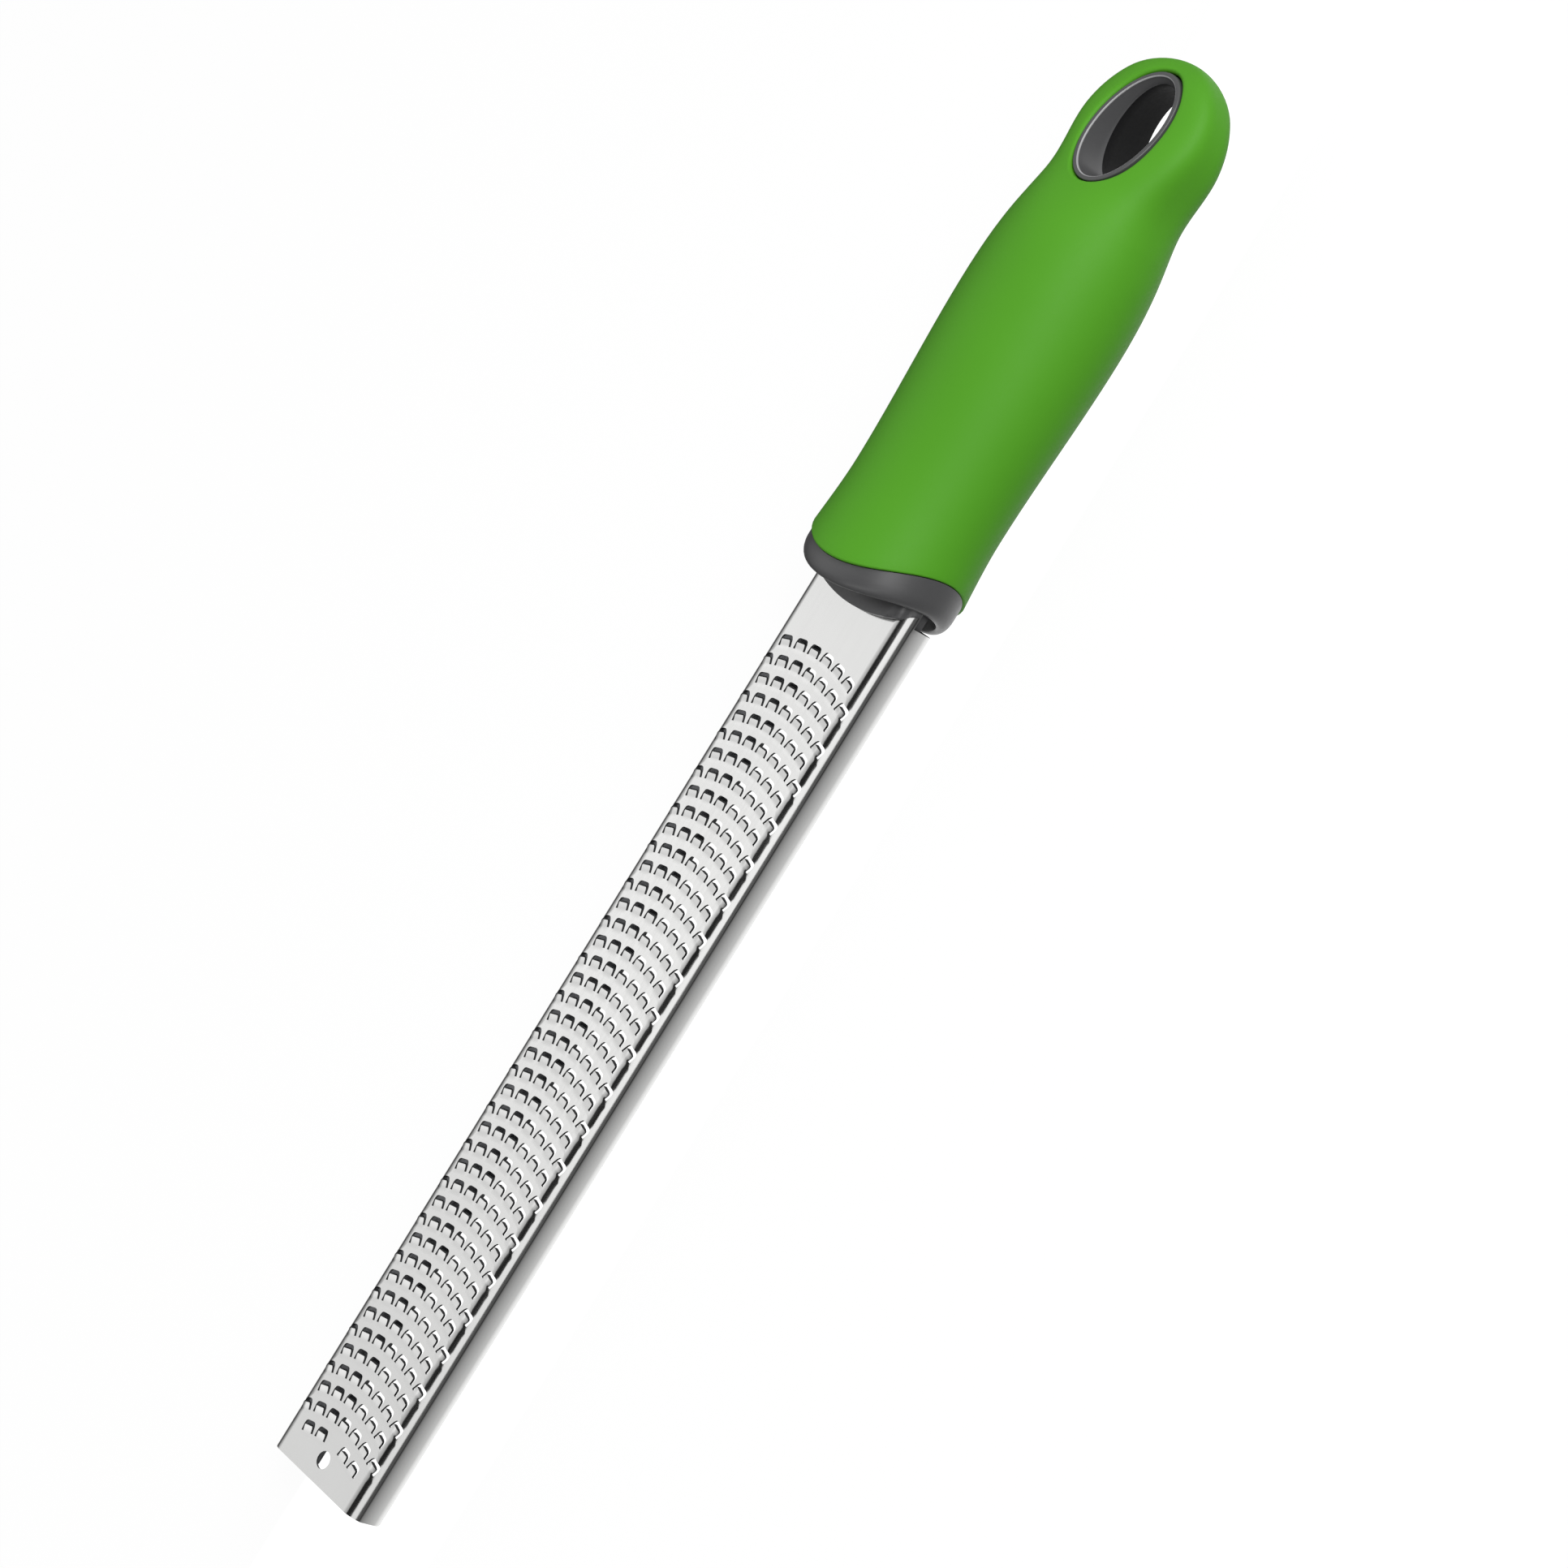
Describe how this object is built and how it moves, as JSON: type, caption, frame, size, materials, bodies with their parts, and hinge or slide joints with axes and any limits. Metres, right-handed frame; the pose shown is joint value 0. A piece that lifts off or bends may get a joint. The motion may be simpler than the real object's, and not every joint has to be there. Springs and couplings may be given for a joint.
{
  "type": "cheese grater",
  "caption": "Rasp-style cheese grater: a long etched steel channel blade with rows of small raised teeth, in a soft green handle that ends in a hanging eye.",
  "frame": {"origin": "under the middle of the whole grater, on the surface that the handle lies on", "axes": "+X from the blade's tip to the handle's end, +Z out of the toothed face, +Y across the blade"},
  "size_m": [0.325, 0.0364, 0.0328],
  "materials": {
    "blade_steel": "bright etched stainless steel",
    "core_plastic": "satin moulded dark grey",
    "grip_rubber": "matte soft-touch green",
    "liner_plastic": "satin moulded dark grey"
  },
  "bodies": {
    "root": {"grating_blade": "blade_steel", "handle_core": "core_plastic", "soft_grip": "grip_rubber", "hang_eye_liner": "liner_plastic"}
  },
  "joints": []
}
